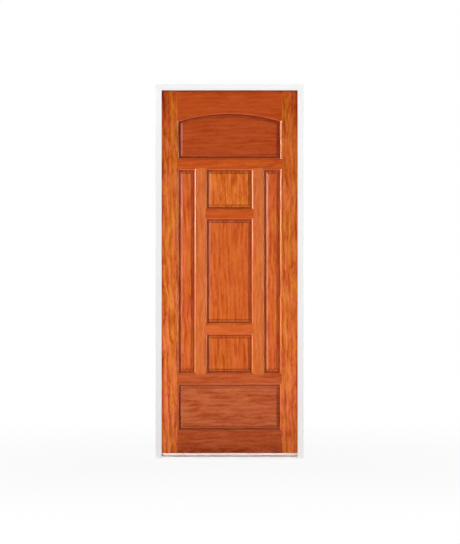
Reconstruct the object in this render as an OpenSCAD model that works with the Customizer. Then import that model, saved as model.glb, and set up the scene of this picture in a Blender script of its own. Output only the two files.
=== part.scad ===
// Panelled front door, hung in its slim rebated frame
// All sizes are in millimetres. The photographed face looks along -Y, +Z is up and +X runs to the
// right as seen from the front. The origin lies on the floor, under the middle of the threshold.
// The leaf hangs on the left jamb and opens away from the viewer.

/* [Leaf] */
// Width of the leaf
leaf_w = 762; // [700:1:900]
// Height of the leaf
leaf_h = 1981; // [1900:1:2135]
// Thickness of the leaf
leaf_t = 44; // [42:1:54]

/* [Leaf layout] */
// Flat face of each stile, without its moulding
stile_face_w = 97; // [85:1:110]
// Flat face of each muntin, without its mouldings
muntin_face_w = 50; // [40:1:60]
// Width of each side panel between the faces of its stile and muntin
side_sight_w = 103; // [90:1:112]
// Flat face of the bottom rail
bottom_rail_h = 118; // [100:1:180]
// Height of the base panel between rail faces
base_sight_h = 262; // [180:1:300]
// Flat face of the lower rail
lower_rail_h = 48; // [44:1:80]
// Height of the lower centre panel between rail faces
lower_sight_h = 225; // [150:1:260]
// Flat face of the lower cross rail
lower_cross_h = 44; // [40:1:60]
// Flat face of the upper cross rail
upper_cross_h = 40; // [38:1:60]
// Height of the upper centre panel between rail faces
upper_sight_h = 227; // [150:1:260]
// Flat face of the frieze rail
frieze_rail_h = 47; // [40:1:70]
// Height of the arched panel between rail faces, at the crown
arched_sight_h = 259; // [200:1:300]
// Flat face of the top rail at the crown of the arch
top_rail_h = 128; // [110:1:160]
// Rise of the arch from its ends to its crown
arch_rise = 44; // [30:1:70]

/* [Mouldings and panels] */
// Width of the ovolo moulding, which is also the depth of the panel groove
ovolo_w = 12; // [11.5:0.5:13]
// Depth of the ovolo moulding, from the face
ovolo_d = 10; // [7:0.5:10.5]
// Small step down from the face to the ovolo
ovolo_step = 1.5; // [1:0.1:2.5]
// Width of the panel groove
groove_t = 14; // [12:0.5:15]
// How far a panel's tongue reaches into the groove
tongue_len = 9; // [6:0.5:9]
// Free space on each side of a tongue
tongue_play = 0.2; // [0.1:0.05:0.4]
// Width of the bevel around a panel's field
bevel_w = 17.5; // [10:0.5:18]
// Depth of a panel's field below the leaf's face
field_drop = 4; // [2:0.5:5]
// Small step from the field down to the bevel
field_step = 3; // [1:0.5:4]
// Glue line between a moulded bar and the coped end that fits over it
glue_gap = 0.1; // [0.05:0.05:0.2]

/* [Dowels] */
// Radius of the dowels
dowel_r = 5; // [4:0.5:5.5]
// Reach of a rail's dowel to each side of the joint
rail_dowel_reach = 50; // [35:1:60]
// Reach of a muntin's dowel to each side of the joint
muntin_dowel_reach = 30; // [20:1:34]
// Free space around a dowel
dowel_play = 0.1; // [0.05:0.05:0.2]
// Free space past the end of a dowel or a screw
bore_end_play = 1; // [0.5:0.5:2]

/* [Frame] */
// Gap between the leaf and the frame, at the sides and the top
leaf_gap = 3; // [2.5:0.1:4]
// How far the stop stands past the face beside the leaf's edge
rebate_d = 15; // [13:0.5:18]
// Thickness of the frame beside the leaf's edge
lining_t = 17; // [16:0.5:30]
// Depth of the stop, from the front of the frame to its seal
stop_depth = 20; // [16:1:45]
// Gap between the stop and the leaf, which the seal fills
seal_gap = 4; // [3.5:0.1:5]
// Radius of the holes for the wall fixings
fixing_r = 4; // [3:0.25:5]
// Height of the lowest wall fixing
fixing_low_z = 200; // [120:5:250]
// Highest wall fixing below the top of the frame
fixing_high_drop = 148; // [120:1:250]
// Radius of the screws that hold the head to the jambs
corner_screw_r = 2.5; // [2:0.1:3]
// Length of the screws that hold the head to the jambs
corner_screw_len = 80; // [60:1:100]

/* [Seals] */
// Width of the kerf that holds a seal
kerf_w = 3; // [2.5:0.1:3.5]
// Depth of the kerf that holds a seal
kerf_d = 5; // [4:0.5:7]
// Free space around a seal's barb
barb_play = 0.2; // [0.1:0.05:0.3]
// Width of a seal's flange
seal_flange_w = 9; // [7:0.5:10]
// Thickness of a seal's flange
seal_flange_t = 1.2; // [1:0.1:1.6]
// Free space between a seal and the closed leaf
seal_clear = 0.4; // [0.3:0.1:0.8]

/* [Threshold] */
// Height of the threshold's deck
deck_h = 11; // [10:0.5:16]
// Fall of the deck towards the front edge
deck_fall = 3; // [1:0.5:4]
// Thickness of the deck
deck_t = 3; // [2.5:0.5:4]
// Thickness of the legs under the deck
deck_leg_t = 2.5; // [2:0.5:4]
// Gap between the threshold's ends and the jambs
threshold_gap = 0.5; // [0.3:0.1:1]
// Height of the hardwood cap on the deck
cap_h = 6; // [4:0.5:10]
// Width of the hardwood cap
cap_w = 36; // [30:1:42]
// Chamfer along the cap's upper edges
cap_chamfer = 2; // [1:0.5:3]
// Height of the sweep under the leaf
sweep_h = 9.5; // [6:0.5:14]
// Width of the sweep
sweep_w = 28; // [20:1:36]
// Thickness of the sweep's plate
sweep_plate_t = 3; // [2:0.5:4]
// Thickness of the sweep's fins
sweep_fin_t = 2.5; // [1.5:0.5:3]
// Free space between the sweep and the cap
sweep_clear = 0.5; // [0.3:0.1:2]

/* [Hinges] */
// Height of each hinge
hinge_h = 102; // [90:1:120]
// Width of each hinge plate on the wood
plate_w = 32; // [28:1:35]
// Thickness of each hinge plate
plate_t = 3; // [2.5:0.1:3.5]
// Free space around a hinge plate in its recess
plate_play = 0.2; // [0.1:0.05:0.4]
// Outer radius of the barrel
barrel_r = 6.5; // [6:0.1:6.7]
// Pin axis beyond the back face of the leaf
pin_out = 7; // [7:0.1:8]
// Radius of the pin
pin_r = 4; // [3:0.1:4.5]
// Running clearance around the pin
pin_play = 0.05; // [0.02:0.01:0.1]
// Gap between neighbouring knuckles
knuckle_gap = 0.4; // [0.3:0.1:0.8]
// Height of the button at each end of a pin
button_h = 3; // [2:0.5:5]
// Middle of the bottom hinge above the foot of the leaf
low_hinge_z = 276; // [200:1:340]
// Middle of the top hinge below the head of the leaf
high_hinge_drop = 201; // [150:1:260]

/* [Hinge screws] */
// Radius of a hinge screw's shank
screw_r = 2.1; // [1.8:0.1:2.4]
// Radius of a hinge screw's head
screw_head_r = 4.2; // [3.8:0.1:4.6]
// Free space around a hinge screw
screw_play = 0.15; // [0.1:0.05:0.3]
// Length of the screws in the leaf
leaf_screw_len = 30; // [20:1:40]
// Length of the screws in the jamb
jamb_screw_len = 14; // [10:1:14]

/* [Hidden] */
$fn = 64;
// How far a cutting shape runs past the face that it cuts
cut_over = 1;
// Sizes of the moulded bars over their mouldings
stile_w = stile_face_w + ovolo_w;
muntin_w = muntin_face_w + 2 * ovolo_w;
muntin_mid_x = leaf_w / 2 - stile_face_w - side_sight_w - muntin_face_w / 2;
// Radius of the ovolo's round, level with the face where the step ends
ovolo_drop = ovolo_d - ovolo_step;
ovolo_r = (pow(ovolo_w, 2) + pow(ovolo_drop, 2)) / (2 * ovolo_drop);
// Heights of the rail faces above the foot of the leaf
base_low_z = bottom_rail_h;
lower_rail_z = base_low_z + base_sight_h;
lower_low_z = lower_rail_z + lower_rail_h;
lower_cross_z = lower_low_z + lower_sight_h;
centre_low_z = lower_cross_z + lower_cross_h;
crown_z = leaf_h - top_rail_h;
arched_low_z = crown_z - arched_sight_h;
frieze_rail_z = arched_low_z - frieze_rail_h;
upper_low_z = frieze_rail_z - upper_sight_h;
upper_cross_z = upper_low_z - upper_cross_h;
// The arch, from stile face to stile face
stile_inner_x = leaf_w / 2 - stile_face_w;
arch_r = (pow(stile_inner_x, 2) + pow(arch_rise, 2)) / (2 * arch_rise);
arch_mid_z = crown_z - arch_r;
arch_open_r = arch_r - ovolo_w;
arch_end_z = crown_z - arch_rise;
// Openings between mouldings
wide_open_w = leaf_w - 2 * stile_w;
side_open_w = leaf_w / 2 - stile_w - muntin_mid_x - muntin_w / 2;
side_open_mid_x = muntin_mid_x + muntin_w / 2 + side_open_w / 2;
centre_open_w = 2 * muntin_mid_x - muntin_w;
muntin_inner_x = muntin_mid_x - muntin_face_w / 2;
// Half thicknesses of a panel
tongue_half = groove_t / 2 - tongue_play;
field_half = leaf_t / 2 - field_drop;
// Depth of the frame, and where the leaf hangs in it
frame_depth = stop_depth + seal_gap + leaf_t;
leaf_base_z = deck_h + cap_h + sweep_clear + sweep_h;
leaf_back_y = frame_depth / 2;
leaf_mid_y = leaf_back_y - leaf_t / 2;
// Faces of the frame
rebate_x = leaf_w / 2 + leaf_gap;
frame_x = rebate_x + lining_t;
stop_x = rebate_x - rebate_d;
stop_back_y = stop_depth - frame_depth / 2;
stop_mid_y = stop_back_y - stop_depth / 2;
rebate_top_z = leaf_base_z + leaf_h + leaf_gap;
stop_top_z = rebate_top_z - rebate_d;
frame_top_z = rebate_top_z + lining_t;
kerf_x = (rebate_x + stop_x) / 2;
kerf_z = (rebate_top_z + stop_top_z) / 2;
seal_bulb_r = (seal_gap - seal_clear) / 2;
deck_leg_count = 5;
// Wall fixings, and the screws at the frame's corners
fixing_count = 4;
fixing_step = (frame_top_z - fixing_high_drop - fixing_low_z) / (fixing_count - 1);
fixing_y = (stop_depth - kerf_d - frame_depth) / 2;
corner_front_x = (frame_x + stop_x) / 2;
corner_back_x = (frame_x + rebate_x) / 2;
corner_back_y = (stop_back_y + leaf_back_y) / 2;
corner_head_r = 2 * corner_screw_r;
// Hinges
hinge_x = -leaf_w / 2 - leaf_gap / 2;
hinge_y = leaf_back_y + pin_out;
hinge_zs = [low_hinge_z, (low_hinge_z + leaf_h - high_hinge_drop) / 2, leaf_h - high_hinge_drop];
knuckle_count = 5;
knuckle_h = hinge_h / knuckle_count;
plate_near_y = -pin_out;
screw_count = 4;
screw_row = hinge_h / screw_count;
screw_inset = 0.3 * plate_w;
screw_sink = 0.2;
// Colours of the wood, the paint, the metal and the seals
wood_colour = [0.72, 0.36, 0.15];
dark_wood_colour = [0.62, 0.28, 0.12];
paint_colour = [0.93, 0.93, 0.91];
metal_colour = [0.72, 0.72, 0.72];
seal_colour = [0.75, 0.75, 0.74];

// Places a shape that is drawn from the foot and the middle of the leaf
module in_leaf() {
    translate([0, leaf_mid_y, leaf_base_z]) children();
}

// Places a shape that is drawn around the middle of one hinge's pin
module at_hinge(index) {
    translate([hinge_x, hinge_y, leaf_base_z + hinge_zs[index]]) children();
}

// Lays a section down so that its width runs up and its length runs across
module across(len) {
    rotate([0, -90, 0]) linear_extrude(height = len, center = true) children();
}

// What one moulded edge loses: the panel groove and the ovolo on both faces
module moulded_edge() {
    translate([-cut_over, -groove_t / 2]) square([ovolo_w + cut_over, groove_t]);
    for (side = [0, 1]) {
        mirror([0, side]) difference() {
            translate([-cut_over, leaf_t / 2 - ovolo_d])
                square([ovolo_w + cut_over, ovolo_d + cut_over]);
            translate([ovolo_w, leaf_t / 2 - ovolo_step - ovolo_r]) circle(r = ovolo_r);
        }
    }
}

// Section of a bar of the leaf, moulded along its low edge, its high edge or both
module bar_section(width, low, high) {
    difference() {
        translate([0, -leaf_t / 2]) square([width, leaf_t]);
        if (low) moulded_edge();
        if (high) translate([width, 0]) mirror([1, 0]) moulded_edge();
    }
}

// Plain stile, on the left for side -1 and on the right for side 1
module stile_bar(side, extra) {
    mirror([side > 0 ? 1 : 0, 0, 0])
        translate([-leaf_w / 2, 0, -extra])
            linear_extrude(height = leaf_h + 2 * extra) bar_section(stile_w, false, true);
}

// Plain muntin between two heights
module muntin_bar(side, low_z, high_z) {
    translate([side * muntin_mid_x - muntin_w / 2, 0, low_z])
        linear_extrude(height = high_z - low_z) bar_section(muntin_w, true, true);
}

// Plain rail with a given face, moulded below, above or both
module rail_bar(low_z, face_h, low, high, len) {
    low_edge = low ? ovolo_w : 0;
    high_edge = high ? ovolo_w : 0;
    across(len) translate([low_z - low_edge, 0]) bar_section(face_h + low_edge + high_edge, low, high);
}

// Plain top rail with the moulded arch along its lower edge
module top_rail_bar(len) {
    difference() {
        translate([-len / 2, -leaf_t / 2, arch_end_z - 2 * ovolo_w])
            cube([len, leaf_t, leaf_h - arch_end_z + 2 * ovolo_w]);
        translate([0, 0, arch_mid_z]) rotate([90, 0, 0]) {
            cylinder(r = arch_open_r, h = leaf_t + 2 * cut_over, center = true, $fn = 256);
            rotate_extrude($fn = 256) translate([arch_open_r, 0]) moulded_edge();
        }
    }
}

// The stiles as cutters, which cope the ends of the rails
module stile_copes() {
    for (side = [-1, 1]) {
        translate([-side * glue_gap, 0, 0]) stile_bar(side, cut_over);
    }
}

// Length of a rail before its ends are coped
function rail_stock() = 2 * stile_inner_x + 2 * ovolo_w;

// Heights of the two dowels in the end of a rail
function dowel_zs(low_z, face_h) = [low_z + face_h / 4, low_z + 3 * face_h / 4];

// Heights of every dowel between the rails and the stiles
rail_dowel_zs = concat(
    dowel_zs(0, bottom_rail_h),
    dowel_zs(lower_rail_z, lower_rail_h),
    dowel_zs(frieze_rail_z, frieze_rail_h),
    dowel_zs(arch_end_z, leaf_h - arch_end_z)
);

// Heights of every dowel between the cross rails and the muntins
cross_dowel_zs = concat(
    dowel_zs(lower_cross_z, lower_cross_h),
    dowel_zs(upper_cross_z, upper_cross_h)
);

// Dowels or their bores between the rails and the stiles
module rail_dowel_shapes(radius, reach) {
    for (side = [-1, 1], z = rail_dowel_zs) {
        translate([side * stile_inner_x, 0, z])
            rotate([0, 90, 0]) cylinder(r = radius, h = 2 * reach, center = true);
    }
}

// Dowels or their bores at both ends of the muntins and the cross rails
module muntin_dowel_shapes(radius, reach) {
    for (side = [-1, 1], step = [-1, 1], z = [lower_low_z, frieze_rail_z]) {
        translate([side * muntin_mid_x + step * muntin_face_w / 4, 0, z])
            cylinder(r = radius, h = 2 * reach, center = true);
    }
    for (side = [-1, 1], z = cross_dowel_zs) {
        translate([side * muntin_inner_x, 0, z])
            rotate([0, 90, 0]) cylinder(r = radius, h = 2 * reach, center = true);
    }
}

module rail_bores() {
    rail_dowel_shapes(dowel_r + dowel_play, rail_dowel_reach + bore_end_play);
}

module muntin_bores() {
    muntin_dowel_shapes(dowel_r + dowel_play, muntin_dowel_reach + bore_end_play);
}

// One edge of a panel seen in section: tongue, bevel, step and field, from its edge inwards
function panel_edge() = [
    [0, tongue_half],
    [tongue_len, tongue_half],
    [tongue_len + bevel_w, field_half - field_step],
    [tongue_len + bevel_w, field_half]
];

// The same outline taken back along the other face
function back_along(points) = [
    for (i = [len(points) - 1 : -1 : 0]) [points[i][0], -points[i][1]]
];

// The same outline taken from the far edge of a panel
function far_edge(points, width) = [
    for (i = [len(points) - 1 : -1 : 0]) [width - points[i][0], points[i][1]]
];

// Section of a panel that is raised on both faces, over a given width with its tongues
module panel_section(width) {
    face = concat(panel_edge(), far_edge(panel_edge(), width));
    polygon(concat(face, back_along(face)));
}

// Raised panel in a square opening
module square_panel(mid_x, open_w, low_z, open_h) {
    width = open_w + 2 * tongue_len;
    height = open_h + 2 * tongue_len;
    intersection() {
        translate([mid_x - width / 2, 0, low_z - tongue_len - cut_over])
            linear_extrude(height = height + 2 * cut_over) panel_section(width);
        translate([mid_x, 0, 0]) across(width + 2 * cut_over)
            translate([low_z - tongue_len, 0]) panel_section(height);
    }
}

// Upper rim of the arched panel, as a disc with a raised edge around the middle of the arch
module arched_rim() {
    core_r = arch_open_r / 2;
    tip_r = arch_open_r + tongue_len;
    face = concat([[core_r, field_half]], far_edge(panel_edge(), tip_r));
    translate([0, 0, arch_mid_z]) rotate([90, 0, 0])
        rotate_extrude($fn = 256) polygon(concat(face, back_along(face)));
}

// Places of the screws of one hinge plate, which run from the plate's face towards +X
module screw_places() {
    for (i = [0 : screw_count - 1]) {
        inset = (i % 2 == 0) ? screw_inset : plate_w - screw_inset;
        translate([0, plate_near_y - inset, (i - (screw_count - 1) / 2) * screw_row])
            rotate([0, 90, 0]) children();
    }
}

// Countersunk screw, sunk a little below the face that it starts from
module screw(shank_r, head_r, len) {
    translate([0, 0, screw_sink]) {
        cylinder(r1 = head_r, r2 = shank_r, h = head_r - shank_r);
        cylinder(r = shank_r, h = len - screw_sink);
    }
}

// Hole for such a screw, with the same free space all around
module screw_hole(shank_r, head_r, len) {
    hole_r = shank_r + screw_play;
    mouth_r = head_r + screw_play + screw_sink;
    cylinder(r1 = mouth_r, r2 = hole_r, h = mouth_r - hole_r);
    translate([0, 0, -cut_over]) cylinder(r = hole_r, h = len + cut_over + bore_end_play);
}

// Hinge plate to the right of the pin, with every second knuckle from the given one
module hinge_plate(first) {
    difference() {
        union() {
            translate([leaf_gap / 2, plate_near_y - plate_w, -hinge_h / 2])
                cube([plate_t, plate_w, hinge_h]);
            for (i = [first : 2 : knuckle_count - 1]) {
                translate([0, 0, i * knuckle_h - hinge_h / 2 + knuckle_gap / 2]) {
                    cylinder(r = barrel_r, h = knuckle_h - knuckle_gap);
                    translate([leaf_gap / 2, plate_near_y - cut_over, 0])
                        cube([plate_t, pin_out + cut_over, knuckle_h - knuckle_gap]);
                }
            }
        }
        cylinder(r = pin_r + pin_play, h = hinge_h + 2 * cut_over, center = true);
        translate([leaf_gap / 2, 0, 0]) screw_places() screw_hole(screw_r, screw_head_r, plate_t);
    }
}

// Recess and screw bores for a hinge plate, in the wood to the right of the pin
module plate_recess(screw_len) {
    translate([leaf_gap / 2 - cut_over, plate_near_y - plate_w - plate_play, -hinge_h / 2 - plate_play])
        cube([plate_t + cut_over, plate_w + plate_play + cut_over, hinge_h + 2 * plate_play]);
    translate([leaf_gap / 2, 0, 0]) screw_places()
        cylinder(r = screw_r + screw_play, h = screw_len + bore_end_play);
}

// Places a shape drawn for the leaf's side of the hinge onto the jamb's side
module jamb_side() {
    mirror([1, 0, 0]) children();
}

// Section of a jamb on the left: lining, stop and the kerf for the seal
module jamb_section() {
    difference() {
        union() {
            translate([-frame_x, -frame_depth / 2]) square([lining_t, frame_depth]);
            translate([-rebate_x - cut_over, -frame_depth / 2])
                square([rebate_d + cut_over, stop_depth]);
        }
        translate([-kerf_x - kerf_w / 2, stop_back_y - kerf_d]) square([kerf_w, kerf_d + cut_over]);
    }
}

// Plain jamb on the left, cut to fit under the head
module jamb_bar() {
    difference() {
        linear_extrude(height = rebate_top_z) jamb_section();
        translate([-frame_x - cut_over, -frame_depth / 2 - cut_over, stop_top_z])
            cube([lining_t + rebate_d + 2 * cut_over, stop_depth + cut_over, rebate_d + cut_over]);
        for (i = [0 : fixing_count - 1]) {
            translate([-frame_x - cut_over, fixing_y, fixing_low_z + i * fixing_step])
                rotate([0, 90, 0]) cylinder(r = fixing_r, h = lining_t + rebate_d + 2 * cut_over);
        }
        corner_bores();
    }
}

// Places of the screws that run down through the head into the jambs
module corner_places() {
    for (side = [-1, 1]) {
        translate([side * corner_front_x, stop_mid_y, frame_top_z]) mirror([0, 0, 1]) children();
        translate([side * corner_back_x, corner_back_y, frame_top_z]) mirror([0, 0, 1]) children();
    }
}

module corner_bores() {
    corner_places() screw_hole(corner_screw_r, corner_head_r, corner_screw_len);
}

// Section of a seal: barb in the kerf, flange on the stop and a round bulb towards the leaf
module seal_section() {
    barb_w = kerf_w - 2 * barb_play;
    barb_d = kerf_d - barb_play;
    translate([-barb_w / 2, -barb_d]) square([barb_w, barb_d + seal_flange_t]);
    translate([-seal_flange_w / 2, 0]) square([seal_flange_w, seal_flange_t]);
    translate([0, seal_bulb_r]) circle(r = seal_bulb_r);
}

// Seal along the left jamb, from the deck to the head
module side_seal() {
    low_z = deck_h + threshold_gap;
    translate([-kerf_x, stop_back_y, low_z]) linear_extrude(height = stop_top_z - low_z) seal_section();
}

// Section of the threshold, deck and legs, with its depth along the first axis
module threshold_section() {
    half = frame_depth / 2;
    top = [[-half, deck_h - deck_fall], [stop_back_y, deck_h], [half, deck_h]];
    leg_step = (frame_depth - deck_leg_t) / (deck_leg_count - 1);
    polygon(concat(top, [for (i = [len(top) - 1 : -1 : 0]) [top[i][0], top[i][1] - deck_t]]));
    intersection() {
        polygon(concat([for (point = top) [point[0], point[1] - deck_t / 2]], [[half, 0], [-half, 0]]));
        for (i = [0 : deck_leg_count - 1]) {
            translate([i * leg_step - half, 0]) square([deck_leg_t, deck_h]);
        }
    }
}

// Section of the hardwood cap, with its depth along the first axis
module cap_section() {
    half = cap_w / 2;
    polygon([
        [-half, 0], [half, 0], [half, cap_h - cap_chamfer], [half - cap_chamfer, cap_h],
        [cap_chamfer - half, cap_h], [-half, cap_h - cap_chamfer]
    ]);
}

// Section of the sweep, plate above and three fins below, with its depth along the first axis
module sweep_section() {
    half = sweep_w / 2;
    translate([-half, sweep_h - sweep_plate_t]) square([sweep_w, sweep_plate_t]);
    for (y = [-half, -sweep_fin_t / 2, half - sweep_fin_t]) {
        translate([y, 0]) square([sweep_fin_t, sweep_h]);
    }
}

// Stands a depth and height section up and runs it along the width
module along_width(len) {
    rotate([90, 0, 90]) linear_extrude(height = len, center = true) children();
}

// Leaf: stiles, rails, muntins and cross rails
module hinge_stile() {
    color(wood_colour) difference() {
        in_leaf() difference() {
            stile_bar(-1, 0);
            rail_bores();
        }
        for (i = [0 : len(hinge_zs) - 1]) at_hinge(i) plate_recess(leaf_screw_len);
    }
}

module closing_stile() {
    color(wood_colour) in_leaf() difference() {
        stile_bar(1, 0);
        rail_bores();
    }
}

module top_rail() {
    color(dark_wood_colour) in_leaf() difference() {
        top_rail_bar(rail_stock());
        stile_copes();
        rail_bores();
    }
}

module frieze_rail() {
    color(dark_wood_colour) in_leaf() difference() {
        rail_bar(frieze_rail_z, frieze_rail_h, true, true, rail_stock());
        stile_copes();
        rail_bores();
        muntin_bores();
    }
}

module lower_rail() {
    color(dark_wood_colour) in_leaf() difference() {
        rail_bar(lower_rail_z, lower_rail_h, true, true, rail_stock());
        stile_copes();
        rail_bores();
        muntin_bores();
    }
}

module bottom_rail() {
    color(dark_wood_colour) in_leaf() difference() {
        rail_bar(0, bottom_rail_h, false, true, rail_stock());
        stile_copes();
        rail_bores();
    }
}

module muntin(side) {
    color(wood_colour) in_leaf() difference() {
        muntin_bar(side, lower_low_z - ovolo_w, frieze_rail_z + ovolo_w);
        translate([0, 0, glue_gap]) rail_bar(lower_rail_z, lower_rail_h, true, true, rail_stock());
        translate([0, 0, -glue_gap]) rail_bar(frieze_rail_z, frieze_rail_h, true, true, rail_stock());
        muntin_bores();
    }
}

module left_muntin() {
    muntin(-1);
}

module right_muntin() {
    muntin(1);
}

module cross_rail(low_z, face_h) {
    color(dark_wood_colour) in_leaf() difference() {
        rail_bar(low_z, face_h, true, true, 2 * muntin_inner_x + 2 * ovolo_w);
        for (side = [-1, 1]) {
            translate([-side * glue_gap, 0, 0])
                muntin_bar(side, low_z - 2 * ovolo_w, low_z + face_h + 2 * ovolo_w);
        }
        muntin_bores();
    }
}

module upper_cross_rail() {
    cross_rail(upper_cross_z, upper_cross_h);
}

module lower_cross_rail() {
    cross_rail(lower_cross_z, lower_cross_h);
}

// Leaf: the seven raised panels
module arched_panel() {
    width = wide_open_w + 2 * tongue_len;
    height = crown_z - arched_low_z;
    color(dark_wood_colour) in_leaf() intersection() {
        translate([-width / 2, 0, arched_low_z]) linear_extrude(height = height) panel_section(width);
        across(width + 2 * cut_over)
            translate([arched_low_z + ovolo_w - tongue_len, 0]) panel_section(2 * height);
        arched_rim();
    }
}

module side_panel(side) {
    color(wood_colour) in_leaf() square_panel(
        side * side_open_mid_x, side_open_w,
        lower_low_z + ovolo_w, frieze_rail_z - lower_low_z - 2 * ovolo_w
    );
}

module left_side_panel() {
    side_panel(-1);
}

module right_side_panel() {
    side_panel(1);
}

module upper_centre_panel() {
    color(wood_colour) in_leaf()
        square_panel(0, centre_open_w, upper_low_z + ovolo_w, upper_sight_h - 2 * ovolo_w);
}

module centre_panel() {
    height = upper_cross_z - centre_low_z - 2 * ovolo_w;
    color(wood_colour) in_leaf() square_panel(0, centre_open_w, centre_low_z + ovolo_w, height);
}

module lower_centre_panel() {
    color(wood_colour) in_leaf()
        square_panel(0, centre_open_w, lower_low_z + ovolo_w, lower_sight_h - 2 * ovolo_w);
}

module base_panel() {
    color(dark_wood_colour) in_leaf()
        square_panel(0, wide_open_w, base_low_z + ovolo_w, base_sight_h - 2 * ovolo_w);
}

// Leaf: what is inside and below it
module rail_dowels() {
    color(wood_colour) in_leaf() rail_dowel_shapes(dowel_r, rail_dowel_reach);
}

module muntin_dowels() {
    color(wood_colour) in_leaf() muntin_dowel_shapes(dowel_r, muntin_dowel_reach);
}

module leaf_sweep() {
    color(seal_colour) translate([0, leaf_mid_y, leaf_base_z - sweep_h])
        along_width(leaf_w) sweep_section();
}

// Leaf: its side of the hinges
module leaf_plate(index) {
    color(metal_colour) at_hinge(index) hinge_plate(1);
}

module bottom_leaf_plate() {
    leaf_plate(0);
}

module middle_leaf_plate() {
    leaf_plate(1);
}

module top_leaf_plate() {
    leaf_plate(2);
}

module leaf_hinge_screws() {
    color(metal_colour) for (i = [0 : len(hinge_zs) - 1]) {
        at_hinge(i) translate([leaf_gap / 2, 0, 0])
            screw_places() screw(screw_r, screw_head_r, leaf_screw_len);
    }
}

// Frame: jambs, head and the screws between them
module hinge_jamb() {
    color(paint_colour) difference() {
        jamb_bar();
        for (i = [0 : len(hinge_zs) - 1]) at_hinge(i) jamb_side() plate_recess(jamb_screw_len);
    }
}

module closing_jamb() {
    color(paint_colour) mirror([1, 0, 0]) jamb_bar();
}

module head_jamb() {
    color(paint_colour) difference() {
        union() {
            translate([-frame_x, -frame_depth / 2, rebate_top_z])
                cube([2 * frame_x, frame_depth, lining_t]);
            translate([-frame_x, -frame_depth / 2, stop_top_z])
                cube([2 * frame_x, stop_depth, rebate_d + cut_over]);
        }
        translate([-rebate_x, stop_back_y - kerf_d, kerf_z - kerf_w / 2])
            cube([2 * rebate_x, kerf_d + cut_over, kerf_w]);
        corner_bores();
    }
}

module corner_screws() {
    color(metal_colour) corner_places() screw(corner_screw_r, corner_head_r, corner_screw_len);
}

// Frame: seals and threshold
module hinge_side_seal() {
    color(seal_colour) side_seal();
}

module closing_side_seal() {
    color(seal_colour) mirror([1, 0, 0]) side_seal();
}

module head_seal() {
    color(seal_colour) translate([0, stop_back_y, kerf_z])
        across(2 * rebate_x - 2 * threshold_gap) seal_section();
}

module threshold() {
    color(metal_colour) difference() {
        along_width(2 * rebate_x - 2 * threshold_gap) threshold_section();
        for (side = [0, 1]) {
            mirror([side, 0, 0])
                translate([stop_x - threshold_gap, -frame_depth / 2 - cut_over, -cut_over])
                    cube([
                        rebate_d + cut_over,
                        stop_depth + cut_over + threshold_gap,
                        deck_h + 2 * cut_over
                    ]);
        }
    }
}

module threshold_cap() {
    color(dark_wood_colour) translate([0, leaf_mid_y, deck_h])
        along_width(2 * rebate_x - 2 * threshold_gap) cap_section();
}

// Frame: its side of the hinges, and the pins
module jamb_plate(index) {
    color(metal_colour) at_hinge(index) jamb_side() hinge_plate(0);
}

module bottom_jamb_plate() {
    jamb_plate(0);
}

module middle_jamb_plate() {
    jamb_plate(1);
}

module top_jamb_plate() {
    jamb_plate(2);
}

module jamb_hinge_screws() {
    color(metal_colour) for (i = [0 : len(hinge_zs) - 1]) {
        at_hinge(i) jamb_side() translate([leaf_gap / 2, 0, 0])
            screw_places() screw(screw_r, screw_head_r, jamb_screw_len);
    }
}

module hinge_pin(index) {
    color(metal_colour) at_hinge(index) {
        cylinder(r = pin_r, h = hinge_h + button_h, center = true);
        for (side = [0, 1]) {
            mirror([0, 0, side]) translate([0, 0, hinge_h / 2]) cylinder(r = barrel_r, h = button_h);
        }
    }
}

module bottom_hinge_pin() {
    hinge_pin(0);
}

module middle_hinge_pin() {
    hinge_pin(1);
}

module top_hinge_pin() {
    hinge_pin(2);
}

hinge_stile();
closing_stile();
top_rail();
frieze_rail();
lower_rail();
bottom_rail();
left_muntin();
right_muntin();
upper_cross_rail();
lower_cross_rail();
arched_panel();
left_side_panel();
right_side_panel();
upper_centre_panel();
centre_panel();
lower_centre_panel();
base_panel();
rail_dowels();
muntin_dowels();
leaf_sweep();
bottom_leaf_plate();
middle_leaf_plate();
top_leaf_plate();
leaf_hinge_screws();
hinge_jamb();
closing_jamb();
head_jamb();
corner_screws();
hinge_side_seal();
closing_side_seal();
head_seal();
threshold();
threshold_cap();
bottom_jamb_plate();
middle_jamb_plate();
top_jamb_plate();
jamb_hinge_screws();
bottom_hinge_pin();
middle_hinge_pin();
top_hinge_pin();
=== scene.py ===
# %% [markdown]
# A panelled front door in its frame
# The door is a joiner's cope-and-stick leaf: moulded bars around seven raised panels, hung on three
# butt hinges in a slim white frame. The solids come ready made and at full size, so nothing has to be
# modelled here. This lesson is about looking: where the camera stands, how a plain studio lights a
# door, and how to build wood, paint, metal and rubber out of nodes.

# %% Load the door
import math
import bpy
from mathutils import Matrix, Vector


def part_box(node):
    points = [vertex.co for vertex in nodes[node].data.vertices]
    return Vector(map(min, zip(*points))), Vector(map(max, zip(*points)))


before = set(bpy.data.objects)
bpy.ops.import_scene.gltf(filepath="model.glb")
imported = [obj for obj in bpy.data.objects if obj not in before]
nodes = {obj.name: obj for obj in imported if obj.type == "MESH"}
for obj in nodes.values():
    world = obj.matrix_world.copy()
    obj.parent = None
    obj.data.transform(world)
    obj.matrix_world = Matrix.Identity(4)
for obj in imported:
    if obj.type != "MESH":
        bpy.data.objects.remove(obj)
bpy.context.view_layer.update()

scene = bpy.context.scene

# %% [markdown]
# The camera
# A catalogue picture of a door is taken straight on and from far away, so that the stiles stay
# parallel. An orthographic camera would keep them parallel too, but a long lens also keeps the little
# depth that a photograph has. It stands twelve metres in front of the face. The picture is 460 by 544
# pixels and the longer side carries the 36 mm sensor, so the lens follows from the height that the
# picture has to take in.

# %% Set up the camera
STAND_BACK = 12.0
PICTURE_HEIGHT = 2.955
SENSOR = 36.0
AIM_X = 0.0022
AIM_Z = 1.0104

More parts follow.
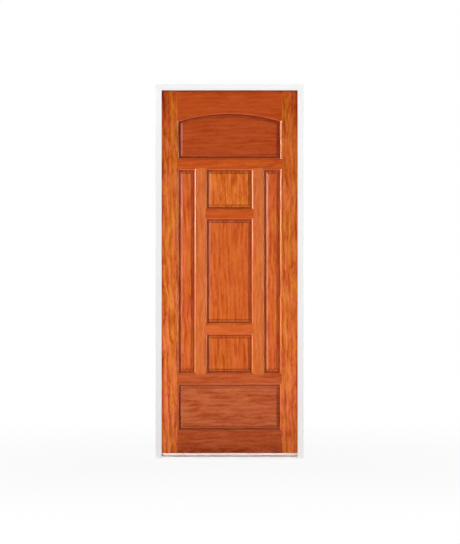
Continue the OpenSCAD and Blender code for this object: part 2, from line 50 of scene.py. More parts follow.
leaf_face_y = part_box("hinge_stile")[0][1]
lens_data = bpy.data.cameras.new("door_camera")
lens_data.sensor_width = SENSOR
lens_data.lens = SENSOR * STAND_BACK / PICTURE_HEIGHT
camera = bpy.data.objects.new("door_camera", lens_data)
camera.location = (AIM_X, leaf_face_y - STAND_BACK, AIM_Z)
camera.rotation_euler = (math.radians(90), 0, 0)
scene.collection.objects.link(camera)
scene.camera = camera
print("camera lens", round(lens_data.lens, 1), "mm")

# %% [markdown]
# Wiring nodes from code
# Every finish below is a small tree of nodes, like the ones that are drawn by hand in the Shader
# editor. Written as code, one recipe serves all seventeen boards. These helpers add a node, set what
# it needs and join it to what comes before, so that a finish can be read from top to bottom. A socket
# takes either a plain value or the output of an earlier node.

# %% Helpers for node trees
def feed(tree, value, socket):
    if isinstance(value, bpy.types.NodeSocket):
        tree.links.new(value, socket)
    else:
        socket.default_value = value


def add_node(tree, kind, settings=None, **inputs):
    node = tree.nodes.new("ShaderNode" + kind)
    for key, value in (settings or {}).items():
        setattr(node, key, value)
    for key, value in inputs.items():
        feed(tree, value, node.inputs[key.replace("_", " ")])
    return node


def calculate(tree, operation, first, second=0.0):
    node = add_node(tree, "Math", {"operation": operation})
    feed(tree, first, node.inputs[0])
    feed(tree, second, node.inputs[1])
    return node.outputs[0]


def vector_step(tree, operation, first, second):
    node = add_node(tree, "VectorMath", {"operation": operation})
    feed(tree, first, node.inputs[0])
    feed(tree, second, node.inputs[1])
    return node.outputs[0]


def spread(tree, value, low, high, to_low=0.0, to_high=1.0):
    node = add_node(tree, "MapRange", Value=value)
    node.inputs["From Min"].default_value = low
    node.inputs["From Max"].default_value = high
    node.inputs["To Min"].default_value = to_low
    node.inputs["To Max"].default_value = to_high
    return node.outputs["Result"]


print("node helpers ready")

# %% [markdown]
# A white room
# The picture has a plain white ground. A bright world would give that, and it would also flood the
# door with light and bleach the wood. So the room stays dim for the light that falls on the door, and
# only looks white: a ray that comes from the camera, or from a reflection, meets a background of
# strength 1.

# %% Make the room
WHITE = (1, 1, 1, 1)
AMBIENT = 0.05


def looking_ray(tree):
    path = add_node(tree, "LightPath")
    glossy = calculate(tree, "MAXIMUM", path.outputs["Is Camera Ray"], path.outputs["Is Glossy Ray"])
    return calculate(tree, "MAXIMUM", glossy, path.outputs["Is Transmission Ray"])


def mixed_look(tree, share, lit, seen):
    mix = add_node(tree, "MixShader", Fac=share)
    tree.links.new(lit.outputs[0], mix.inputs[1])
    tree.links.new(seen.outputs[0], mix.inputs[2])
    return mix.outputs[0]


room = bpy.data.worlds.new("white_room")
scene.world = room
room.use_nodes = True
room_tree = room.node_tree
room_tree.nodes.clear()
dim_light = add_node(room_tree, "Background", Color=WHITE, Strength=AMBIENT)
white_ground = add_node(room_tree, "Background", Color=WHITE, Strength=1.0)
room_look = mixed_look(room_tree, looking_ray(room_tree), dim_light, white_ground)
add_node(room_tree, "OutputWorld", Surface=room_look)
print("room light", AMBIENT)

# %% [markdown]
# The floor
# The door stands on a large pale sheet that catches its soft shadow. Lit by the lamps alone, the sheet
# would come out grey against the white ground. So a camera ray sees mostly white from it and a small
# share of its real shading. That share fades to nothing a few steps away, where the floor melts into
# the ground of the picture.

# %% Lay the floor
FLOOR_HALF = 30.0
FLOOR_PAINT = (0.9, 0.9, 0.9, 1)
FLOOR_WHITE = 0.93
SHADOW_REACH = (0.8, 3.2)

floor_mesh = bpy.data.meshes.new("floor")
corners = [(-1, -1), (1, -1), (1, 1), (-1, 1)]
floor_mesh.from_pydata([(FLOOR_HALF * x, FLOOR_HALF * y, 0) for x, y in corners], [], [(0, 1, 2, 3)])
floor = bpy.data.objects.new("floor", floor_mesh)
scene.collection.objects.link(floor)
floor_finish = bpy.data.materials.new("pale_floor")
floor_finish.use_nodes = True
floor_tree = floor_finish.node_tree
floor_tree.nodes.clear()
floor_paint = add_node(floor_tree, "BsdfDiffuse", Color=FLOOR_PAINT)
floor_glow = add_node(floor_tree, "Emission", Color=WHITE, Strength=1.0)
floor_place = add_node(floor_tree, "TexCoord").outputs["Object"]
floor_away = add_node(floor_tree, "VectorMath", {"operation": "LENGTH"}, Vector=floor_place)
floor_fade = spread(floor_tree, floor_away.outputs["Value"], *SHADOW_REACH, FLOOR_WHITE, 1.0)
floor_share = calculate(floor_tree, "MULTIPLY", looking_ray(floor_tree), floor_fade)
floor_look = mixed_look(floor_tree, floor_share, floor_paint, floor_glow)
add_node(floor_tree, "OutputMaterial", Surface=floor_look)
floor_mesh.materials.append(floor_finish)
print("floor", 2 * FLOOR_HALF, "m square")

# %% [markdown]
# Soft boxes
# The mouldings of the real door are bright on their left slopes and dark on their right ones, and the
# undersides of the rails catch more light than their tops. A sun lamp would draw hard shadows there,
# so area lamps stand in for a photographer's soft boxes. The main one is wide and far to the left, a
# small one in front lifts the shadows, and a glowing card lies on the floor like a white board. The
# white frame has two boxes of its own. One more hangs above and two stand behind, for whoever walks
# round the door. None of them shows up as a reflection.

# %% Place the soft boxes
DOOR_MIDDLE = (0.0, 0.0, 1.0)


def soft_box(name, place, target, size, watts):
    data = bpy.data.lights.new(name, "AREA")
    data.shape = "RECTANGLE"
    data.size = size[0]
    data.size_y = size[1]
    data.energy = watts
    lamp = bpy.data.objects.new(name, data)
    lamp.location = place
    aim = [target[i] - place[i] for i in range(3)]
    turn = math.atan2(-aim[0], aim[1])
    rise = math.atan2(aim[2], math.hypot(aim[0], aim[1]))
    lamp.rotation_euler = (math.radians(90) + rise, 0, turn)
    lamp.visible_camera = False
    scene.collection.objects.link(lamp)
    return lamp


scene.view_settings.view_transform = "Standard"
main = soft_box("left_soft_box", (-20.4, -12.6, 1.4), DOOR_MIDDLE, (5.6, 5.2), 5750)
front = soft_box("front_soft_box", (1.6, -8.0, 0.8), DOOR_MIDDLE, (2.0, 2.0), 142)
card = soft_box("floor_card", (-0.4, -1.5, 0.03), (-0.4, -1.5, 1.0), (3.0, 1.5), 28)
frame_front = soft_box("frame_front_box", (-2.0, -7.0, 3.6), DOOR_MIDDLE, (3.0, 3.0), 430)
frame_right = soft_box("frame_right_box", (5.0, -3.0, 0.8), DOOR_MIDDLE, (2.0, 1.2), 130)
above = soft_box("top_soft_box", (0.0, 0.7, 6.0), (0.0, 0.69, 0.0), (2.0, 1.0), 140)
back_left = soft_box("back_left_soft_box", (-3.5, 5.0, 1.6), DOOR_MIDDLE, (2.0, 2.0), 160)
back_right = soft_box("back_right_soft_box", (4.0, 4.5, 1.6), DOOR_MIDDLE, (2.0, 2.0), 160)
soft_boxes = (main, front, card, frame_front, frame_right, above, back_left, back_right)
for lamp in soft_boxes:
    lamp.visible_glossy = False
print("soft boxes", [lamp.name for lamp in soft_boxes])

# %% [markdown]
# Strips for the highlights
# A varnished moulding shows a thin pale line where it mirrors something bright. The soft boxes could
# draw these lines, but then a brighter line would also mean brighter wood. So these lamps are there
# for the lines alone: they are hidden from diffuse shading and add nothing to the colour of the wood.
# Three stand on the left, because the lines are strongest on left slopes and near the head of the
# door. One on the right and one on the floor draw the fainter lines.

# %% Place the strips
left_strip = soft_box("left_strip", (-6.36, -7.72, 1.0), DOOR_MIDDLE, (2.4, 4.3), 1000)
high_strip = soft_box("high_strip", (-6.36, -7.72, 2.3), DOOR_MIDDLE, (2.4, 1.9), 2050)
side_strip = soft_box("side_strip", (-8.66, -5.0, 2.2), DOOR_MIDDLE, (2.6, 2.0), 200)
right_strip = soft_box("right_strip", (2.6, -5.4, 1.0), DOOR_MIDDLE, (0.4, 2.6), 560)
low_strip = soft_box("low_strip", (0.0, -0.8, 0.03), (0.0, -0.8, 1.0), (3.0, 1.2), 85)
strips = (left_strip, high_strip, side_strip, right_strip, low_strip)
for lamp in strips:
    lamp.visible_diffuse = False
print("strips", [lamp.name for lamp in strips])

# %% [markdown]
# Which lamp lights what
# A lamp strong enough for dark wood washes out white paint. Greyer paint would hide that here and look
# wrong under other lamps, so light linking sorts it out: the frame and the sill have boxes of their
# own, and most lamps for the wood skip them. Of those, only the front box and the left strip also
# light the sill. The right strip serves the upright bars, and the low strip the rails above the bottom
# one. The box above skips the floor, which would throw its light back at the door. The jambs stand a
# little in front of the leaf, with their seals behind, and lamps far to the side would draw their
# shadows down the stiles. So jambs and seals are taken out of what blocks those lamps.

# %% Link the lamps
PAINTED = ["hinge_jamb", "closing_jamb", "head_jamb"]
SILL = ["threshold", "threshold_cap", "leaf_sweep"]
SIDES = ["hinge_jamb", "hinge_side_seal", "closing_jamb", "closing_side_seal"]
UPRIGHTS = ["hinge_stile", "left_muntin", "right_muntin", "closing_stile"]
RAILS = ["lower_rail", "lower_cross_rail", "upper_cross_rail", "frieze_rail", "top_rail"]


def lamp_list(name, pieces, state):
    listed = bpy.data.collections.new(name)
    for piece in pieces:
        listed.objects.link(nodes[piece])
    for linked in listed.collection_objects:
        linked.light_linking.link_state = state
    return listed


lit_by = [
    (lamp_list("frame_only", PAINTED + SILL, "INCLUDE"), [frame_front, frame_right]),
    (lamp_list("all_but_the_frame", PAINTED + SILL, "EXCLUDE"), [main, card, high_strip, side_strip]),
    (lamp_list("all_but_the_paint", PAINTED, "EXCLUDE"), [front, left_strip]),
    (lamp_list("uprights_only", UPRIGHTS, "INCLUDE"), [right_strip]),
    (lamp_list("rails_only", RAILS, "INCLUDE"), [low_strip]),
    (lamp_list("door_only", nodes, "INCLUDE"), [above]),
]
for listed, lamps in lit_by:
    for lamp in lamps:
        lamp.light_linking.receiver_collection = listed
past_jambs = lamp_list("past_the_jambs", SIDES, "EXCLUDE")
for lamp in (main, left_strip, high_strip, side_strip, right_strip):
    lamp.light_linking.blocker_collection = past_jambs
print("lists of lit pieces", [listed.name for listed, lamps in lit_by])

# %% [markdown]
# Starting a finish
# Each finish is a Principled shader fed by textures. A picture could be wrapped around each board with
# a UV map, but its grain would break at the edges. Textures that read the solid's own coordinates run
# through the board from face to edge. A solid keeps its place in the frame inside its mesh, so these
# coordinates are metres on the real door, and they travel with the leaf when it swings.

# %% Helpers for finishes
def start_finish(name, **uniform):
    finish = bpy.data.materials.new(name)
    finish.use_nodes = True
    tree = finish.node_tree
    tree.nodes.clear()
    shader = add_node(tree, "BsdfPrincipled", **uniform)
    add_node(tree, "OutputMaterial", Surface=shader.outputs[0])
    return finish, tree, shader


def cover(node_names, finish):
    for name in node_names:
        mesh = nodes[name].data
        mesh.materials.clear()
        mesh.materials.append(finish)


print("ready to cover", len(nodes), "pieces")

# %% [markdown]
# Tools for textures
# Wood, brushed paint, drawn metal and moulded rubber are all streaked or speckled, and the same few
# tools draw them: a noise stretched along one axis, two values blended, a value turned into colours,
# and a bump. A noise rarely leaves the middle of its range, so two tones are set where its values
# mostly lie.

# %% Helpers for textures
NOISE_RANGE = (0.3, 0.7)


def stretched_noise(tree, place, across, along, detail=3.0, swirl=0.0):
    scaled = vector_step(tree, "MULTIPLY", place, (1 / across, 1 / across, 1 / along))
    noise = add_node(tree, "TexNoise", Vector=scaled, Scale=1.0, Detail=detail, Distortion=swirl)
    return noise.outputs["Fac"]


def blend(tree, first, second, share):
    node = add_node(tree, "Mix", {"data_type": "FLOAT"})
    feed(tree, share, node.inputs["Factor"])
    feed(tree, first, node.inputs["A"])
    feed(tree, second, node.inputs["B"])
    return node.outputs["Result"]


def colour_ramp(tree, value, positions, colours):
    node = add_node(tree, "ValToRGB", Fac=value)
    band = node.color_ramp
    while len(band.elements) < len(positions):
        band.elements.new(0.5)
    for element, position, colour in zip(band.elements, positions, colours):
        element.position = position
        element.color = (*colour, 1)
    return node.outputs["Color"]


def add_bump(tree, shader, height, strength, depth):
    bump = add_node(tree, "Bump", Height=height, Strength=strength, Distance=depth)
    tree.links.new(bump.outputs["Normal"], shader.inputs["Normal"])


print("noise is read between", NOISE_RANGE)

# %% [markdown]
# Which way the grain runs
# A board is sawn along the tree, so its grain follows its length: upright in the stiles, the muntins
# and the five narrow panels, level in the rails and the two wide panels. Two kinds of wood could be
# made for that. It is simpler to turn the coordinates, so that the third axis always runs along the
# grain, and to shift them far apart, so that no two boards repeat.

# %% Board coordinates
BOARD_SHIFT = (1.37, 0.61, 2.93)


def board_place(tree, level, seed):
    coordinates = add_node(tree, "TexCoord")
    mapping = add_node(tree, "Mapping", Vector=coordinates.outputs["Object"])
    mapping.inputs["Location"].default_value = [seed * step for step in BOARD_SHIFT]
    if level:
        mapping.inputs["Rotation"].default_value = (0, math.radians(90), 0)
    return mapping.outputs["Vector"]


print("each seed shifts a board by", BOARD_SHIFT, "m")

# %% [markdown]
# The figure of the wood
# Fibres never run quite straight, so a slow noise first bends the board's coordinates. Growth rings
# are cylinders around the heart of the tree, and a board cuts them at a slant, which draws long bands.
# Patches a finger wide show where the fibres lean to and fro and catch the light, short flecks are the
# tree's rays, and fine fibres run through everything. A scanned board has all this too, but it would
# repeat, and here every board is its own. The parts are mixed into one value from deep to pale. Sizes
# are given across the grain and then along it.

# %% Bends, rings, patches, flecks and fibres
BEND = 0.034
BEND_SCALE = (9.0, 9.0, 5.0)
HEART_DEPTH = 0.09
HEART_LEAN = 0.06
RING_GAP = 0.021
RING_SHARE = 0.14
PATCH = (0.024, 0.11)
STREAK = (0.009, 0.15)
STREAK_SHARE = 0.4
FLECK = (0.006, 0.022)
FLECK_SHARE = 0.22
FIBRE = (0.0016, 0.05)
FIBRE_SHARE = 0.08


def bent_grain(tree, place):
    scaled = vector_step(tree, "MULTIPLY", place, BEND_SCALE)
    drift = add_node(tree, "TexNoise", Vector=scaled, Scale=1.0, Detail=1.5)
    bend = vector_step(tree, "MULTIPLY", drift.outputs["Color"], (BEND, BEND, 0.0))
    return vector_step(tree, "ADD", place, bend)


def growth_rings(tree, place):
    parts = add_node(tree, "SeparateXYZ", Vector=place)
    lean = calculate(tree, "MULTIPLY", parts.outputs["Z"], HEART_LEAN)
    depth = calculate(tree, "ADD", parts.outputs["Y"], lean)
    depth = calculate(tree, "ADD", depth, HEART_DEPTH)
    heart = add_node(tree, "CombineXYZ", X=parts.outputs["X"], Y=depth)
    settings = {"wave_type": "RINGS", "rings_direction": "Z", "wave_profile": "SAW"}
    wave_scale = 2 * math.pi / (20 * RING_GAP)
    wave = add_node(tree, "TexWave", settings, Vector=heart.outputs["Vector"], Scale=wave_scale)
    return wave.outputs["Fac"]


def wood_figure(tree, place):
    patches = stretched_noise(tree, place, *PATCH, detail=2.0, swirl=0.6)
    streaks = stretched_noise(tree, place, *STREAK, detail=3.0, swirl=0.4)
    flecks = stretched_noise(tree, place, *FLECK, detail=2.0, swirl=0.3)
    fibres = stretched_noise(tree, place, *FIBRE, detail=3.0)
    figure = blend(tree, patches, streaks, STREAK_SHARE)
    figure = blend(tree, figure, growth_rings(tree, place), RING_SHARE)
    figure = blend(tree, figure, flecks, FLECK_SHARE)
    return blend(tree, figure, fibres, FIBRE_SHARE), fibres


print("growth rings about", round(1000 * RING_GAP), "mm apart")

# %% [markdown]
# Pores
# Close up, this wood is full of short dark pores, about a centimetre long. There are far too many to
# model, so stretched cells draw them: only the middle of each cell counts as a pore. They darken the
# colour and also sink into the varnish, so the same value feeds the bump.

# %% Pores
PORE_GAP = 0.0016
PORE_LENGTH = 0.022
PORE_EDGE = (0.14, 0.30)


def wood_pores(tree, place):
    scaled = vector_step(tree, "MULTIPLY", place, (1 / PORE_GAP, 1 / PORE_GAP, 1 / PORE_LENGTH))
    cells = add_node(tree, "TexVoronoi", Vector=scaled, Scale=1.0)
    return spread(tree, cells.outputs["Distance"], *PORE_EDGE)


print("pores in cells of", round(1000 * PORE_LENGTH), "mm along the grain")

# %% [markdown]
# Stain and painted shade
# The stain gives each board one ground colour, and the figure swings it from a deep brown to a pale
# orange. Two more noises lean the hue towards gold or towards salmon, as this timber does. The colour
# is also darkened in the hollows beside the raised fields, and most of all in the inner corners:
# this is painted shade, together with stain that gathers where a brush can't wipe it off. Painting
# that by hand would need a mask for every panel. Ambient occlusion finds both places by itself, with
# a long reach and a short one.

# %% Colours of one board
PLAIN = (1.0, 1.0, 1.0)
DEEP = (0.70, 0.48, 0.34)
PALE = (1.14, 1.48, 1.75)
FIGURE_STOPS = (0.38, 0.50, 0.62)
SALMON = (1.03, 0.91, 1.45)
GOLDEN = (0.97, 1.13, 0.60)
HUE_STOPS = (0.40, 0.60)
BROAD_HUE = (0.030, 0.16)
FINE_HUE = (0.010, 0.05)
HOLLOW_REACH = 0.024
HOLLOW_SHARE = (0.50, 0.95, 0.50)
HOLLOW_SHADE_AND_STAIN = (0.50, 0.42, 0.38, 1)
CORNER_REACH = 0.006
CORNER_SHARE = (0.55, 0.96, 0.42)
CORNER_SHADE_AND_STAIN = (0.30, 0.20, 0.16, 1)


def shade(colour, factor, amount=1.0):
    return [part * (1 + amount * (step - 1)) for part, step in zip(colour, factor)]


def multiply(tree, first, second, share=1.0):
    node = add_node(tree, "Mix", {"data_type": "RGBA", "blend_type": "MULTIPLY"})
    feed(tree, share, node.inputs[0])
    feed(tree, first, node.inputs[6])
    feed(tree, second, node.inputs[7])
    return node.outputs[2]


# Darkens a colour where ambient occlusion finds a nook: painted shade, together with pooled stain.
def nook_shade_and_stain(tree, tone, reach, share, stain):
    nook = add_node(tree, "AmbientOcclusion", {"samples": 8}, Distance=reach)
    amount = spread(tree, nook.outputs["AO"], *share, 0.0)
    return multiply(tree, tone, stain, amount)


def stained_colour(tree, place, figure, colour, swing, lean):
    tones = (shade(colour, DEEP, swing), colour, shade(colour, PALE, swing))
    tone = colour_ramp(tree, figure, FIGURE_STOPS, tones)
    hue = stretched_noise(tree, place, *BROAD_HUE, detail=2.0, swirl=0.5)
    hue = blend(tree, hue, stretched_noise(tree, place, *FINE_HUE, detail=2.0, swirl=0.5), 0.5)
    hues = (shade(PLAIN, SALMON, lean), shade(PLAIN, GOLDEN, lean))
    tone = multiply(tree, tone, colour_ramp(tree, hue, HUE_STOPS, hues))
    tone = nook_shade_and_stain(tree, tone, HOLLOW_REACH, HOLLOW_SHARE, HOLLOW_SHADE_AND_STAIN)
    return nook_shade_and_stain(tree, tone, CORNER_REACH, CORNER_SHARE, CORNER_SHADE_AND_STAIN)


print("stain gathers within", round(1000 * HOLLOW_REACH), "mm of a hollow")

# %% [markdown]
# Darker head, paler foot
# The stiles are darker towards the head and paler towards the foot: painted shade at the head and
# painted light at the foot, together with the boards' own tone. Their two upper corners are darkest,
# which is painted shade beside the frame. The top rail is darker along its upper edge, a painted
# shadow of the head, and the bottom rail is darker along its foot. Each of these could be a picture
# mask. Here a ramp over the height does it, from where the board is plain to where the change is
# full. A noise breaks the ramp up into patches. The corners are smooth, with a second ramp outwards.

# %% Shade and tone by height
TINT_PATCH = (0.016, 0.07)
PATCH_RANGE = (0.35, 0.65)
UNEVEN = (0.15, 1.6)


def place_on_door(tree):
    place = add_node(tree, "TexCoord").outputs["Object"]
    return add_node(tree, "SeparateXYZ", Vector=place).outputs


# A ramp over the height multiplies the colour: it paints shade and light on the boards it is given.
def shade_and_tone_by_height(tree, place, colour, plain_z, full_z, factor, outward=None):
    on_door = place_on_door(tree)
    if outward:
        share = spread(tree, calculate(tree, "ABSOLUTE", on_door["X"]), *outward)
    else:
        patches = stretched_noise(tree, place, *TINT_PATCH, detail=2.0, swirl=0.6)
        share = spread(tree, patches, *PATCH_RANGE, *UNEVEN)
    amount = calculate(tree, "MULTIPLY", spread(tree, on_door["Z"], plain_z, full_z), share)
    return multiply(tree, colour, colour_ramp(tree, amount, (0.0, 1.0), (PLAIN, factor)))


print("weather patches about", round(1000 * TINT_PATCH[1]), "mm long")

# %% [markdown]
# Painted shade under the steps
# A panel's field stands on a small step above its bevel. Along the upper and lower steps the colour
# is darkened into a line, which is painted shade of the step. Ambient occlusion treats all four sides
# alike, so the line is measured from the panel's edge instead: it lies a tongue and a bevel away, and
# it fades out across the bevel. It is wider and darker at the foot of a panel than at its head, and
# weaker on the two wide panels, whose grain runs along it. The arched panel has no level step at its
# head, so it has only the lower line.

# %% Lines below the steps
STEP_INSET = 0.0265
UPPER_STEP_SHADE = (0.007, 0.6)
LOWER_STEP_SHADE = (0.010, 0.75)
LEVEL_SHARE = 0.45
STEP_SHADE_COLOUR = (0.28, 0.20, 0.18, 1)


# A dark line just inside a panel's step: painted shade of the step.
def step_shade_line(tree, height, edge, inward, width, depth):
    inset = calculate(tree, "MULTIPLY", calculate(tree, "SUBTRACT", height, edge), inward)
    rising = spread(tree, inset, STEP_INSET - width, STEP_INSET, 0.0, depth)
    outside = calculate(tree, "LESS_THAN", inset, STEP_INSET)
    return calculate(tree, "MULTIPLY", rising, outside)


def with_step_shade(tree, colour, panel, level):
    low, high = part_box(panel)
    height = place_on_door(tree)["Z"]
    line = step_shade_line(tree, height, low[2], 1, *LOWER_STEP_SHADE)
    if panel != "arched_panel":
        line = calculate(tree, "MAXIMUM", line, step_shade_line(tree, height, high[2], -1, *UPPER_STEP_SHADE))
    if level:
        line = calculate(tree, "MULTIPLY", line, LEVEL_SHARE)
    return multiply(tree, colour, STEP_SHADE_COLOUR, line)


print("steps lie", round(1000 * STEP_INSET, 1), "mm inside the panels' edges")

# %% [markdown]
# The wood finish
# On top of the stain lies a clear varnish, which is the shader's coat. A joiner rubs the flat faces
# down to a dull sheen with a block, and the block doesn't reach into the mouldings, so they keep their
# gloss and light up where they turn towards a strip. One even coat would turn whole boards white
# there. The surface normal tells the two apart: on a flat face it points straight to the front or the
# back. Pores and fibres sink into the varnish, so they feed the bump.

# %% Varnished wood
RUBBED_COAT = 0.02
GLOSSY_COAT = 0.2
FLAT_FROM = (0.97, 0.995)
PORE_STAIN = (0.45, 0.35, 0.3, 1)
PORE_SHARE = 0.4
WOOD_ROUGHNESS = (0.34, 0.48)
WOOD_RELIEF = (0.2, 0.0004)


def varnish_left(tree):
    facing = add_node(tree, "TexCoord").outputs["Normal"]
    to_front = add_node(tree, "SeparateXYZ", Vector=facing).outputs["Y"]
    flatness = calculate(tree, "ABSOLUTE", to_front)
    return spread(tree, flatness, *FLAT_FROM, GLOSSY_COAT, RUBBED_COAT)


def varnished_wood(name, colour, level, seed, swing=0.7, lean=0.3, height_tints=(), panel=None):
    finish, tree, shader = start_finish(name, Coat_Roughness=0.12, IOR=1.45, Specular_IOR_Level=0.01)
    tree.links.new(varnish_left(tree), shader.inputs["Coat Weight"])
    place = bent_grain(tree, board_place(tree, level, seed))
    figure, fibres = wood_figure(tree, place)
    stained = stained_colour(tree, place, figure, colour, swing, lean)
    for change in height_tints:
        stained = shade_and_tone_by_height(tree, place, stained, *change)
    if panel:
        stained = with_step_shade(tree, stained, panel, level)
    pores = wood_pores(tree, place)
    stained = multiply(tree, stained, PORE_STAIN, spread(tree, pores, 0, 1, PORE_SHARE, 0.0))
    tree.links.new(stained, shader.inputs["Base Color"])
    tree.links.new(spread(tree, fibres, *NOISE_RANGE, *WOOD_ROUGHNESS), shader.inputs["Roughness"])
    add_bump(tree, shader, blend(tree, pores, fibres, 0.4), *WOOD_RELIEF)
    return finish


print("varnish from", RUBBED_COAT, "on flat faces to", GLOSSY_COAT, "on mouldings")

# %% [markdown]
# The boards of the leaf
# A joiner picks the boards by tone. Here the stiles are amber and the muntins honey, the side panels
# and the lower cross rail coral, the small upper panel gold and the other centre panels copper. The
# narrow rails above are rust, the top rail russet and the arched panel chestnut. Below, the lower rail
# is clay, the base panel brick and the bottom rail bark. One stain for all would be less work, but it
# would lose what makes the door look like timber. Some boards have a lively figure and some are quiet:
# the two numbers say how far the figure and the hue swing. Each board has its own seed.

# %% Stain the leaf
AMBER = (0.617, 0.135, 0.0208)
HONEY = (0.656, 0.150, 0.0345)
GOLD = (0.658, 0.143, 0.0195)
CORAL = (0.636, 0.121, 0.0243)
COPPER = (0.607, 0.114, 0.0207)
RUST = (0.561, 0.090, 0.0147)
RUSSET = (0.510, 0.077, 0.0124)
CHESTNUT = (0.461, 0.069, 0.0134)
CLAY = (0.515, 0.0965, 0.0248)
BRICK = (0.528, 0.113, 0.0356)
BARK = (0.473, 0.087, 0.0246)
# Stiles: the darker head and paler foot are painted shade and painted light mixed with their tone, and
# their dark upper corners are painted shade.
HEAD_SHADE_AND_TONE = (1.45, 1.92, (0.81, 0.66, 0.45))
PAINTED_CORNER_SHADE = (1.845, 1.905, (0.65, 0.38, 0.32), (0.312, 0.366))
FOOT_LIGHT_AND_TONE = (0.95, 0.30, (1.13, 1.08, 1.60))
# Top rail: its darker upper edge is a painted shadow of the head.
PAINTED_HEAD_SHADOW = (1.965, 1.995, (0.78, 0.74, 0.70))
DARK_FOOT = (0.085, 0.035, (0.70, 0.62, 0.60))

BOARDS = [
    ("hinge_stile", AMBER, False, 1.3, 0.9, [HEAD_SHADE_AND_TONE, PAINTED_CORNER_SHADE, FOOT_LIGHT_AND_TONE]),
    ("closing_stile", AMBER, False, 1.3, 0.9, [HEAD_SHADE_AND_TONE, PAINTED_CORNER_SHADE, FOOT_LIGHT_AND_TONE]),
    ("left_muntin", HONEY, False, 0.6, 0.4, []),
    ("right_muntin", HONEY, False, 0.6, 0.4, []),
    ("left_side_panel", CORAL, False, 1.0, 0.6, []),
    ("right_side_panel", CORAL, False, 1.0, 0.6, []),
    ("upper_centre_panel", GOLD, False, 1.1, 0.9, []),
    ("centre_panel", COPPER, False, 0.8, 0.5, []),
    ("lower_centre_panel", COPPER, False, 0.9, 0.6, []),
    ("lower_cross_rail", CORAL, True, 0.5, 0.3, []),
    ("upper_cross_rail", RUST, True, 0.5, 0.3, []),
    ("frieze_rail", RUST, True, 0.7, 0.3, []),
    ("top_rail", RUSSET, True, 0.5, 0.3, [PAINTED_HEAD_SHADOW]),
    ("arched_panel", CHESTNUT, True, 0.6, 0.3, []),
    ("lower_rail", CLAY, True, 0.7, 0.2, []),
    ("base_panel", BRICK, True, 0.9, 0.3, []),
    ("bottom_rail", BARK, True, 0.8, 0.4, [DARK_FOOT]),
]

for seed, (board, stain, level, swing, lean, height_tints) in enumerate(BOARDS, start=1):
    panel = board if board.endswith("_panel") else None
    finish = varnished_wood(board + "_wood", stain, level, seed, swing, lean, height_tints, panel)
    cover([board], finish)
print("stained", len(BOARDS), "boards")

# %% [markdown]
# Dowels and the threshold's cap
# The dowels hide in the joints, and the cap under the leaf is a strip of pale hardwood. A flat colour
# would nearly do for pieces this small, but the finish is ready, so both have the same wood with paler
# stains.

# %% Stain the dowels and the cap
DOWEL_WOOD = (0.55, 0.30, 0.13)
CAP_WOOD = (0.72, 0.48, 0.40)

cover(["rail_dowels"], varnished_wood("rail_dowel_wood", DOWEL_WOOD, True, 31))
cover(["muntin_dowels"], varnished_wood("muntin_dowel_wood", DOWEL_WOOD, False, 32))
cover(["threshold_cap"], varnished_wood("cap_wood", CAP_WOOD, True, 33))
print("stained the dowels and the cap")

# %% [markdown]
# White paint
# The frame is brushed with white satin paint. A plain white would look like plastic, so we add the
# marks of the brush, which run along each piece: a noise stretched that way moves the white a little,
# roughens the gloss and leaves faint ridges.

# %% Paint the frame
BRUSH_MARK = (0.0012, 0.12)
PAINT_CLOUD = (0.05, 0.25)
DULL_WHITE = (0.85, 0.85, 0.84)
CLEAN_WHITE = (0.90, 0.90, 0.895)
PAINT_ROUGHNESS = (0.38, 0.52)
PAINT_RELIEF = (0.15, 0.0003)


def brushed_paint(name, level, seed):
    finish, tree, shader = start_finish(name, Specular_IOR_Level=0.4)
    place = board_place(tree, level, seed)
    brush = stretched_noise(tree, place, *BRUSH_MARK, detail=3.0)
    clouds = stretched_noise(tree, place, *PAINT_CLOUD, detail=2.0)
    tone = blend(tree, clouds, brush, 0.35)
    white = colour_ramp(tree, tone, NOISE_RANGE, (DULL_WHITE, CLEAN_WHITE))
    tree.links.new(white, shader.inputs["Base Color"])
    tree.links.new(spread(tree, brush, *NOISE_RANGE, *PAINT_ROUGHNESS), shader.inputs["Roughness"])
    add_bump(tree, shader, brush, *PAINT_RELIEF)
    return finish


cover(["hinge_jamb", "closing_jamb"], brushed_paint("jamb_paint", False, 41))
cover(["head_jamb"], brushed_paint("head_paint", True, 42))
print("painted", len(PAINTED), "pieces of the frame")

# %% [markdown]
# Metal
# The threshold is extruded aluminium and the hinges are brushed steel. A metal shows the room in its
# surface, so its colour stays plain. The lines of the die or the brush are too fine to model, and a
# stretched noise gives the same sheen through the tone, the roughness and the bump.

# %% Metals
LINE_LENGTH = 0.08
METAL_SHADE = (0.86, 0.86, 0.86)
METAL_RELIEF = (0.12, 0.0002)
ROUGHNESS_SWING = 0.07
ALUMINIUM = (0.80, 0.81, 0.82)
STEEL = (0.47, 0.46, 0.45)
HINGES = ("bottom", "middle", "top")
HINGE_PIECES = ("_leaf_plate", "_jamb_plate", "_hinge_pin")


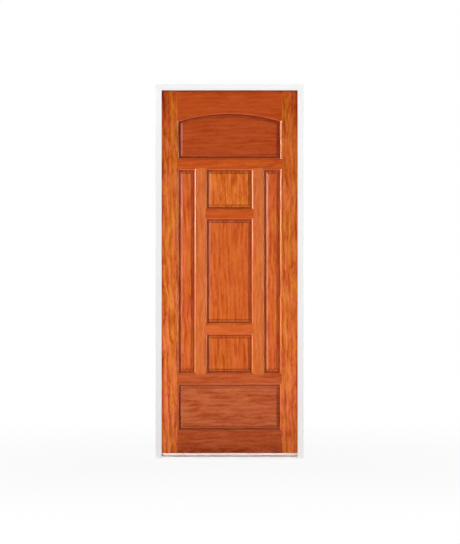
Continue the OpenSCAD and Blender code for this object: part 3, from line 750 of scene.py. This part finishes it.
def brushed_metal(name, colour, level, seed, line, rough):
    finish, tree, shader = start_finish(name, Metallic=1.0)
    place = board_place(tree, level, seed)
    lines = stretched_noise(tree, place, line, LINE_LENGTH, detail=3.0)
    tone = colour_ramp(tree, lines, NOISE_RANGE, (shade(colour, METAL_SHADE), colour))
    tree.links.new(tone, shader.inputs["Base Color"])
    limits = (rough - ROUGHNESS_SWING, rough + ROUGHNESS_SWING)
    tree.links.new(spread(tree, lines, *NOISE_RANGE, *limits), shader.inputs["Roughness"])
    add_bump(tree, shader, lines, *METAL_RELIEF)
    return finish


steel = brushed_metal("hinge_steel", STEEL, False, 51, line=0.0006, rough=0.32)
aluminium = brushed_metal("threshold_aluminium", ALUMINIUM, True, 52, line=0.0007, rough=0.38)
cover(["threshold"], aluminium)
for piece in HINGE_PIECES:
    cover([hinge + piece for hinge in HINGES], steel)
cover(["leaf_hinge_screws", "jamb_hinge_screws", "corner_screws"], steel)
print("metal on the threshold, on", len(HINGES), "hinges and on the screws")

# %% [markdown]
# Rubber
# The seals in the frame and the sweep under the leaf are pale grey rubber: matt, with a fine grain
# from the mould and a slight bloom that changes its tone over a few centimetres. One noise can't be
# both fine and broad, so two of them are blended.

# %% Seals and sweep
BLOOM = (0.03, 0.09)
MOULD_GRAIN = (0.0008, 0.0008)
RUBBER_SHADE = (0.88, 0.88, 0.88)
RUBBER_ROUGHNESS = (0.55, 0.75)
RUBBER_RELIEF = (0.2, 0.0002)
SEAL_GREY = (0.62, 0.62, 0.61)
SWEEP_GREY = (0.90, 0.91, 0.90)


def pale_rubber(name, colour, level, seed):
    finish, tree, shader = start_finish(name, Specular_IOR_Level=0.3)
    place = board_place(tree, level, seed)
    bloom = stretched_noise(tree, place, *BLOOM, detail=2.0)
    grain = stretched_noise(tree, place, *MOULD_GRAIN, detail=2.0)
    tone = blend(tree, bloom, grain, 0.3)
    grey = colour_ramp(tree, tone, NOISE_RANGE, (shade(colour, RUBBER_SHADE), colour))
    tree.links.new(grey, shader.inputs["Base Color"])
    tree.links.new(spread(tree, grain, *NOISE_RANGE, *RUBBER_ROUGHNESS), shader.inputs["Roughness"])
    add_bump(tree, shader, grain, *RUBBER_RELIEF)
    return finish


side_rubber = pale_rubber("side_seal_rubber", SEAL_GREY, False, 61)
cover(["hinge_side_seal", "closing_side_seal"], side_rubber)
cover(["head_seal"], pale_rubber("head_seal_rubber", SEAL_GREY, True, 62))
cover(["leaf_sweep"], pale_rubber("sweep_rubber", SWEEP_GREY, True, 63))
print("rubber on three seals and the sweep")
